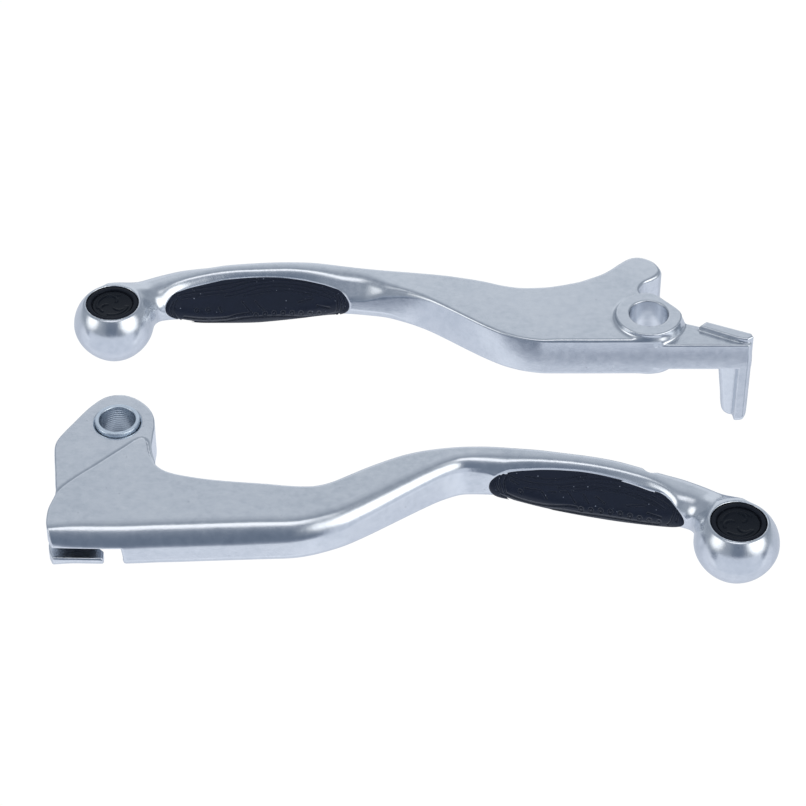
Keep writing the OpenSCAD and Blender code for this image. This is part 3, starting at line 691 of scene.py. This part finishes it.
# ---------------------------------------------------------------- materials
class ShaderTree:
    """Small helper to wire the shader nodes of a material or world."""

    def __init__(self, owner, output):
        owner.use_nodes = True
        self.tree = owner.node_tree
        self.tree.nodes.clear()
        self.output = self.new(output)

    def new(self, kind, inputs=None, **settings):
        node = self.tree.nodes.new("ShaderNode" + kind)
        for key, value in settings.items():
            setattr(node, key, value)
        for key, value in (inputs or {}).items():
            self.put(node.inputs[key], value)
        return node

    def put(self, socket, value):
        if isinstance(value, bpy.types.NodeSocket):
            self.tree.links.new(value, socket)
        elif socket.type == "RGBA":
            socket.default_value = (*value, 1)
        else:
            socket.default_value = value

    def finish(self, shader):
        self.put(self.output.inputs[0], shader.outputs[0])

    def ramp(self, fac, stops):
        node = self.new("ValToRGB", {"Fac": fac})
        elements = node.color_ramp.elements
        while len(elements) < len(stops):
            elements.new(0.5)
        for element, (position, colour) in zip(elements, stops):
            element.position = position
            element.color = (*colour, 1)
        return node.outputs["Color"]

    def map(self, value, source, target=(0.0, 1.0), kind="LINEAR"):
        inputs = {"Value": value, "From Min": source[0], "From Max": source[1],
                  "To Min": target[0], "To Max": target[1]}
        return self.new("MapRange", inputs, interpolation_type=kind).outputs[0]

    def math(self, operation, a, b=0.0):
        return self.new("Math", {0: a, 1: b}, operation=operation).outputs[0]

    def mix(self, fac, a, b):
        return self.new("Mix", {0: fac, 6: a, 7: b}, data_type="RGBA").outputs[2]


class Surface(ShaderTree):
    """Principled material whose coordinates are object millimetres."""

    def __init__(self, name):
        self.material = bpy.data.materials.new(name)
        super().__init__(self.material, "OutputMaterial")
        object_co = self.new("TexCoord").outputs["Object"]
        self.co = self.new("Mapping", {"Scale": (1000, 1000, 1000), "Vector": object_co}).outputs[0]

    def noise(self, scale, detail, rough):
        inputs = {"Vector": self.co, "Scale": scale, "Detail": detail, "Roughness": rough}
        return self.new("TexNoise", inputs).outputs["Fac"]

    def cells(self, scale):
        """Distance to the nearest cell centre, and a random value per cell."""
        cell = self.new("TexVoronoi", {"Vector": self.co, "Scale": scale})
        pick = self.new("SeparateColor", {0: cell.outputs["Color"]})
        return cell.outputs["Distance"], pick.outputs[0]

    def bump(self, height, strength, distance, normal=None):
        """Distance is in metres."""
        inputs = {"Strength": strength, "Distance": distance, "Height": height}
        if normal is not None:
            inputs["Normal"] = normal
        return self.new("Bump", inputs).outputs[0]

    def principled(self, **inputs):
        inputs = {key.replace("_", " "): value for key, value in inputs.items()}
        self.finish(self.new("BsdfPrincipled", inputs))
        return self.material


NOISE_SPAN = (0.3, 0.7)  # part of the noise range that carries the variation
BLUE_TINT = (0.66, 0.80, 1.0)


def cast_aluminium():
    m = Surface("cast_aluminium")
    grain = m.noise(scale=3.4, detail=4, rough=0.62)
    mottle = m.noise(scale=0.55, detail=5, rough=0.6)
    cloud = m.noise(scale=0.09, detail=3, rough=0.5)
    tone = m.math("ADD", m.math("MULTIPLY", mottle, 0.6), m.math("MULTIPLY", cloud, 0.4))
    colour = m.ramp(tone, [(0.30, (0.600, 0.640, 0.690)), (0.52, (0.680, 0.715, 0.760)),
                           (0.75, (0.735, 0.765, 0.800))])
    # small dark pits in some of the cells
    distance, pick = m.cells(scale=0.34)
    dot = m.map(distance, (0.04, 0.075), (1.0, 0.0))
    pit = m.math("MULTIPLY", dot, m.map(pick, (0.55, 0.6)))
    colour = m.mix(m.math("MULTIPLY", pit, 0.35), colour, (0.25, 0.27, 0.31))
    rough = m.math("ADD", m.map(grain, NOISE_SPAN, (0.15, 0.22)),
                   m.map(mottle, NOISE_SPAN, (0.0, 0.05)))
    height = m.math("ADD", m.math("MULTIPLY", grain, 0.5), m.math("MULTIPLY", mottle, 1.0))
    normal = m.bump(height, strength=0.55, distance=0.00004)
    normal = m.bump(pit, strength=-0.6, distance=0.00006, normal=normal)
    return m.principled(Base_Color=colour, Metallic=1.0, Roughness=rough, Normal=normal)


def zinc_steel():
    m = Surface("zinc_steel")
    mottle = m.noise(scale=0.9, detail=4, rough=0.6)
    colour = m.ramp(mottle, [(0.3, (0.60, 0.68, 0.76)), (0.7, (0.72, 0.80, 0.88))])
    # dark painted shade in the bore, strongest low down and fading towards the top
    x, y, z = m.new("SeparateXYZ", {0: m.co}).outputs
    radius = m.math("SQRT", m.math("ADD", m.math("MULTIPLY", x, x), m.math("MULTIPLY", y, y)))
    bore_painted_shade = m.math("MULTIPLY", m.map(radius, (BUSH_BORE + 0.05, BUSH_BORE + 0.12), (1.0, 0.0)),
                 m.map(z, (-3.5, 4.6), (0.85, 0.0)))
    # mix the painted shade into the bore wall colour
    colour = m.mix(bore_painted_shade, colour, (0.06, 0.08, 0.11))
    wave = m.new("TexWave", {"Vector": m.co, "Scale": 0.55, "Distortion": 0.6},
                 wave_type="BANDS", bands_direction="Z")
    normal = m.bump(wave.outputs["Fac"], strength=0.35, distance=0.00005)
    return m.principled(Base_Color=colour, Metallic=1.0,
                        Roughness=m.map(mottle, NOISE_SPAN, (0.24, 0.34)), Normal=normal)


def grip_rubber():
    m = Surface("grip_rubber")
    fine = m.noise(scale=6.0, detail=3, rough=0.6)
    broad = m.noise(scale=0.35, detail=4, rough=0.6)
    colour = m.ramp(broad, [(0.3, (0.0070, 0.0092, 0.0200)), (0.7, (0.0110, 0.0140, 0.0290))])
    # pale dust specks in a few cells
    distance, pick = m.cells(scale=1.3)
    few = m.map(pick, (0.85, 0.95))
    dust = m.math("MULTIPLY", m.map(distance, (0.10, 0.19), (1.0, 0.0)), few)
    colour = m.mix(m.math("MULTIPLY", dust, 0.8), colour, (0.42, 0.46, 0.56))
    normal = m.bump(fine, strength=0.35, distance=0.00003)
    return m.principled(Base_Color=colour, Roughness=m.map(broad, NOISE_SPAN, (0.50, 0.60)),
                        Specular_IOR_Level=0.34, Specular_Tint=BLUE_TINT, Normal=normal)


def cap_plastic(name, rough, dark, light):
    m = Surface(name)
    broad = m.noise(scale=0.8, detail=4, rough=0.6)
    fine = m.noise(scale=5.0, detail=2, rough=0.5)
    colour = m.ramp(broad, [(0.3, dark), (0.7, light)])
    return m.principled(Base_Color=colour,
                        Roughness=m.map(broad, NOISE_SPAN, (rough, rough + 0.07)),
                        Specular_IOR_Level=0.18, Specular_Tint=BLUE_TINT,
                        Normal=m.bump(fine, strength=0.12, distance=0.00002))


ALUMINIUM, ZINC, RUBBER = cast_aluminium(), zinc_steel(), grip_rubber()
CAP_RIM = cap_plastic("cap_rim", rough=0.42, dark=(0.006, 0.0075, 0.012),
                      light=(0.010, 0.012, 0.018))
CAP_FACE = cap_plastic("cap_face", rough=0.20, dark=(0.0035, 0.0045, 0.0075),
                       light=(0.0055, 0.007, 0.011))


# ---------------------------------------------------------------- field meshing
TETRAHEDRON = np.array([[1, 1, 1], [1, -1, -1], [-1, 1, -1], [-1, -1, 1]], float)


def gradient(field, pts, reach=0.05):
    samples = [field(pts + reach * corner) for corner in TETRAHEDRON]
    return sum(samples[k][:, None] * TETRAHEDRON[k] for k in range(4)) / (4 * reach)


def mesh_field(field, low, high, cell):
    """Points, quads and normals of field = 0 inside a box."""
    low, high = np.array(low, float), np.array(high, float)
    side = 8  # cells per block; only blocks near the surface are sampled in full
    blocks = np.ceil((high - low) / (cell * side)).astype(int)
    axes = [low[k] + cell * (np.arange(blocks[k]) * side + (side - 1) / 2) for k in range(3)]
    centres = np.stack(np.meshgrid(*axes, indexing="ij"), -1).reshape(-1, 3)
    coarse = field(centres)
    keep = np.abs(coarse) < cell * side * 0.87 * 1.6 + 0.4
    volume = np.clip(coarse, -2, 2).reshape(blocks).astype(np.float32)
    for axis in range(3):
        volume = np.repeat(volume, side, axis)
    offsets = np.stack(np.meshgrid(*[cell * np.arange(side)] * 3, indexing="ij"), -1)
    offsets = offsets.reshape(-1, 3)
    kept = np.argwhere(keep.reshape(blocks))
    for start in range(0, len(kept), 1500):
        part = kept[start : start + 1500]
        pts = (low + part * (cell * side))[:, None, :] + offsets[None]
        values = field(pts.reshape(-1, 3)).reshape(-1, side, side, side).astype(np.float32)
        for (i, j, k), block in zip(part * side, values):
            volume[i : i + side, j : j + side, k : k + side] = block
    grid = openvdb.FloatGrid(2.0)
    grid.copyFromArray(volume)
    pts, quads = grid.convertToQuads(0.0)
    pts = low + np.array(pts, float) * cell
    for _ in range(3):
        grad = gradient(field, pts)
        move = np.clip(field(pts) / np.maximum((grad * grad).sum(1), 0.2), -cell, cell)
        pts = pts - move[:, None] * grad
    grad = gradient(field, pts)
    normals = grad / np.maximum(np.linalg.norm(grad, axis=1), 1e-9)[:, None]
    return pts, np.array(quads, int), normals


def link_object(name, mesh, materials):
    ob = bpy.data.objects.new(name, mesh)
    bpy.context.scene.collection.objects.link(ob)
    for material in materials:
        mesh.materials.append(material)
    return ob


def add_piece(name, mesh, materials, body, node):
    ob = link_object(name, mesh, materials)
    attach(ob, body)
    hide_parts(node)
    return ob


def field_piece(name, field, low, high, cell, body, node, material):
    pts, quads, normals = mesh_field(field, low, high, cell)
    mesh = bpy.data.meshes.new(name)
    a, b, c = (pts[quads[:, k]] for k in range(3))
    facing = np.einsum("ij,ij->i", np.cross(b - a, c - a), normals[quads[:, 0]])
    if (facing < 0).mean() > 0.5:
        quads = quads[:, ::-1]
    mesh.vertices.add(len(pts))
    mesh.vertices.foreach_set("co", (pts * 0.001).astype(np.float32).ravel())
    mesh.loops.add(len(quads) * 4)
    mesh.loops.foreach_set("vertex_index", quads.ravel().astype(np.int32))
    mesh.polygons.add(len(quads))
    mesh.polygons.foreach_set("loop_start", (np.arange(len(quads)) * 4).astype(np.int32))
    mesh.update(calc_edges=True)
    mesh.validate()
    mesh.polygons.foreach_set("use_smooth", np.ones(len(mesh.polygons), bool))
    if len(mesh.vertices) == len(pts):
        mesh.normals_split_custom_set_from_vertices(normals.astype(np.float32).tolist())
    return add_piece(name, mesh, [material], body, node)


# ---------------------------------------------------------------- turned pieces
def turned_mesh(name, rows, segments, centre, material_of=lambda r0, r1: 0):
    """Revolved mesh. Rows are (r, z); z may be a function of r and the angles."""
    angles = np.arange(segments) * 2 * math.pi / segments
    pts = []
    for r, z in rows:
        heights = z(r, angles) if callable(z) else np.full(segments, z)
        pts.append(np.stack([centre[0] + r * np.cos(angles), centre[1] + r * np.sin(angles),
                             heights], 1))
    faces, indices = [], []
    for i in range(len(rows) - 1):
        for k in range(segments):
            a, b = i * segments + k, i * segments + (k + 1) % segments
            faces.append((a, b, b + segments, a + segments))
            indices.append(material_of(rows[i][0], rows[i + 1][0]))
    mesh = bpy.data.meshes.new(name)
    mesh.from_pydata((np.concatenate(pts) * 0.001).tolist(), [], faces)
    mesh.polygons.foreach_set("material_index", indices)
    mesh.polygons.foreach_set("use_smooth", np.ones(len(faces), bool))
    mesh.update()
    return mesh


def profile(corners, spacing):
    """Polyline of (r, z) resampled to short steps, corners kept."""
    out = []
    for (r0, z0), (r1, z1) in zip(corners[:-1], corners[1:]):
        n = max(1, int(math.hypot(r1 - r0, z1 - z0) / spacing))
        out += [(r0 + (r1 - r0) * k / n, z0 + (z1 - z0) * k / n) for k in range(n)]
    return out + [corners[-1]]


def cap_tread(turn):
    """Three swirl arms and two arcs round them."""
    t = np.linspace(0.1, 1.3, 9)
    lines = []
    for k in range(3):
        arm = turn + k * 2.094
        lines.append(np.stack([math.cos(arm) + 2.9 * np.sin(t) * np.cos(arm + t),
                               math.sin(arm) + 2.9 * np.sin(t) * np.sin(arm + t)], 1))
    for start, end, count in ((0.3, 2.6, 14), (3.6, 5.2, 12)):
        t = np.linspace(turn + start, turn + end, count)
        lines.append(3.55 * np.stack([np.cos(t), np.sin(t)], 1))
    return lines


def make_cap(name, centre, body, node, turn):
    """Round cap: matte raised rim, groove, dished glossy face with a raised swirl tread."""
    base = SEAT_Z + 0.03
    top = base + 1.93
    segments = [pair for line in cap_tread(turn) for pair in zip(line[:-1], line[1:])]

    def face(r, angles):
        x, y = r * np.cos(angles), r * np.sin(angles)
        dist = np.sqrt(np.min([segment_dist2(x, y, *pair) for pair in segments], axis=0))
        dish = top - 0.42 - 0.16 * (1 - (r / 4.6) ** 2)
        return dish + 0.16 * (1 - step(0.16, 0.42, dist))

    rows = [(0.0001, base)] + profile([
        (1.0, base), (5.8, base), (CAP_R, base + 0.25), (CAP_R, top - 0.35),
        (5.95, top - 0.16), (5.83, top - 0.04), (5.6, top), (5.15, top), (4.97, top - 0.06),
        (4.88, top - 0.2), (4.85, top - 0.62), (4.72, top - 0.66), (4.62, top - 0.60),
        (4.56, top - 0.44)], 0.12)
    rows += [(r, face) for r in np.arange(4.48, 0.05, -0.09)] + [(0.0001, face)]
    # the glossy material also takes the middle of the underside
    mesh = turned_mesh(name, rows, 160, centre,
                       lambda r0, r1: int(max(r0, r1) < 4.6 and min(r0, r1) < 4.5))
    add_piece(name, mesh, [CAP_RIM, CAP_FACE], body, node)


def make_bush():
    end = BUSH_HALF
    rows = profile([
        (BUSH_BORE, -end + 0.35), (4.07, -end + 0.12), (4.2, -end), (4.84, -end),
        (4.95, -end + 0.06), (BUSH_R, -end + 0.2), (BUSH_R, -end + 0.6), (BUSH_R, end - 0.6),
        (BUSH_R, end - 0.2), (4.95, end - 0.06), (4.84, end), (4.2, end), (4.07, end - 0.1),
        (4.01, end - 0.32)], 0.07)
    # faint turning marks down the bore
    count = 60
    for k in range(1, count):
        z = end - 0.35 - (2 * end - 0.7) * k / count
        rows.append((BUSH_BORE + 0.0015 * (1 + math.sin(z * 9.5)), z))
    rows.append((BUSH_BORE, -end + 0.35))
    mesh = turned_mesh("pivot_bush", rows, 144, (0, 0))
    add_piece("pivot_bush", mesh, [ZINC], "pivot_bush", "clutch_pivot_bush")


# ---------------------------------------------------------------- build
field_piece("clutch_lever", clutch_casting, (-16, -45.5, -10), (147, 11.5, 8), CASTING_CELL,
            "clutch_lever", "clutch_lever_casting", ALUMINIUM)
field_piece("brake_lever", brake_casting, (-15, 24, -21.5), (147, 60, 8), CASTING_CELL,
            "brake_lever", "brake_lever_casting", ALUMINIUM)
clutch_grip = field_piece(
    "clutch_grip",
    grip_field(clutch_outlines, CLUTCH_TRACK, CLUTCH_WINDOW, CLUTCH_ENDS, CLUTCH_TREAD),
    (80, -31, -7.5), (127, -12, 7.5), GRIP_CELL,
    "clutch_lever", "clutch_finger_grip", RUBBER)
brake_grip = field_piece(
    "brake_grip",
    grip_field(brake_outlines, BRAKE_TRACK, BRAKE_WINDOW, BRAKE_ENDS, BRAKE_TREAD),
    (6, 40, -7.5), (53, 52, 7.5), GRIP_CELL,
    "brake_lever", "brake_finger_grip", RUBBER)
clutch_grip.visible_glossy = brake_grip.visible_glossy = False
make_cap("clutch_cap", CLUTCH_BALL, "clutch_lever", "clutch_end_cap", turn=0.4)
make_cap("brake_cap", BRAKE_BALL, "brake_lever", "brake_end_cap", turn=0.9)
make_bush()


# ---------------------------------------------------------------- stage
def glowing_card(name, corners, colour, strength, hidden_from):
    mesh = bpy.data.meshes.new(name)
    mesh.from_pydata([tuple(v / 1000 for v in corner) for corner in corners], [], [(0, 1, 2, 3)])
    material = bpy.data.materials.new(name)
    tree = ShaderTree(material, "OutputMaterial")
    tree.finish(tree.new("Emission", {0: colour, 1: strength}))
    ob = link_object(name, mesh, [material])
    for ray in (hidden_from, "diffuse", "shadow", "transmission"):
        setattr(ob, "visible_" + ray, False)


def make_floor(half=6000, z=-20.3):
    corners = [(-half, -half, z), (half, -half, z), (half, half, z), (-half, half, z)]
    glowing_card("floor", corners, (1, 1, 1), 1.02, hidden_from="glossy")


def bounce(name, x, y, half, high, low=-60.0):
    """Pale card in front of a ball end, seen only in reflections."""
    corners = [(x - half, y, low), (x + half, y, low), (x + half, y, high), (x - half, y, high)]
    glowing_card(name, corners, (0.80, 0.85, 0.96), 0.92, hidden_from="camera")


# soft boxes: direction towards the light, degrees off it where the light starts and is full,
# brightness
BOXES = [
    ((-0.85, -0.30, 0.42), 26, 8, 1.6),
    ((0.76, -0.47, 0.455), 34, 9, 2.0),
]
SIDE = (0.36, 0.40, 0.46)  # tone towards both ends of the X axis
# tone round the X axis in degrees: 0 back horizon, 90 overhead, 180 front horizon
SKY = [
    (0, (0.80, 0.84, 0.90)), (25, (0.85, 0.89, 0.95)), (35, (0.84, 0.88, 0.94)),
    (39.4, (0.74, 0.78, 0.84)), (41.5, (0.655, 0.695, 0.755)), (43.8, (0.58, 0.62, 0.685)),
    (46, (0.55, 0.59, 0.655)), (54, (0.52, 0.56, 0.62)), (62, (0.43, 0.47, 0.53)),
    (68, (0.37, 0.41, 0.47)), (86, (0.38, 0.42, 0.48)), (92.5, (1.45, 1.45, 1.48)),
    (109, (1.45, 1.45, 1.48)), (115, (0.42, 0.46, 0.53)), (125, (0.29, 0.33, 0.40)),
    (140, (0.21, 0.25, 0.32)), (165, (0.175, 0.215, 0.285)), (198, (0.18, 0.22, 0.29)),
    (209, (0.25, 0.29, 0.37)), (214, (0.34, 0.38, 0.46)), (218, (0.48, 0.52, 0.61)),
    (221, (0.67, 0.71, 0.81)), (225, (1.00, 1.04, 1.13)), (231, (1.02, 1.06, 1.15)),
    (247, (0.76, 0.80, 0.89)), (270, (0.80, 0.84, 0.94)), (300, (0.62, 0.66, 0.75)),
    (340, (0.66, 0.70, 0.78)), (360, (0.80, 0.84, 0.90)),
]
SKY_GAIN = 1.6  # the ramp holds the sky divided by this, to stay below 1


def make_world():
    world = bpy.data.worlds.new("studio")
    bpy.context.scene.world = world
    w = ShaderTree(world, "OutputWorld")
    background = w.new("Background")
    direction = w.new("TexCoord").outputs["Generated"]
    x, y, z = w.new("SeparateXYZ", {0: direction}).outputs
    angle = w.math("ARCTAN2", z, y)
    turn = w.math("FRACT", w.math("DIVIDE", angle, 2 * math.pi))
    sky = w.ramp(turn, [(deg / 360, [v / SKY_GAIN for v in tone]) for deg, tone in SKY])
    colour = w.new("VectorMath", {0: sky, "Scale": SKY_GAIN}, operation="SCALE").outputs[0]
    wide = w.map(w.math("ABSOLUTE", x), (0.14, 0.50), kind="SMOOTHSTEP")
    above = w.map(z, (-0.2, 0.1), kind="SMOOTHSTEP")
    colour = w.mix(w.math("MULTIPLY", wide, above), colour, SIDE)
    for towards, outer, inner, brightness in BOXES:
        v = Vector(towards).normalized()
        flat = w.math("ADD", w.math("MULTIPLY", x, v.x), w.math("MULTIPLY", y, v.y))
        dot = w.math("ADD", flat, w.math("MULTIPLY", z, v.z))
        span = (math.cos(math.radians(outer)), math.cos(math.radians(inner)))
        colour = w.mix(w.map(dot, span, kind="SMOOTHSTEP"), colour, (brightness,) * 3)
    w.put(background.inputs[0], colour)
    w.finish(background)


def make_camera():
    """In front and above, looking back and 42 degrees down."""
    camera = bpy.data.cameras.new("camera")
    ob = bpy.data.objects.new("camera", camera)
    bpy.context.scene.collection.objects.link(ob)
    camera.sensor_width = 36
    camera.lens = 133.995037
    camera.clip_end = 100
    camera.shift_x, camera.shift_y = 0.000372208437, -0.000744416873
    ob.location = (0.06343, -0.4929, 0.4540)  # metres
    ob.rotation_euler = (math.radians(48), 0, 0)
    bpy.context.scene.camera = ob


make_floor()
bounce("bounce_clutch", CLUTCH_BALL[0] + 8.0, CLUTCH_BALL[1] - 45.0, half=66.0, high=6.5)
bounce("bounce_brake", BRAKE_BALL[0] - 8.0, BRAKE_BALL[1] - 26.5, half=44.0, high=3.8)
make_world()
bpy.context.scene.view_settings.view_transform = "Standard"
bpy.context.scene.view_settings.look = "None"
make_camera()
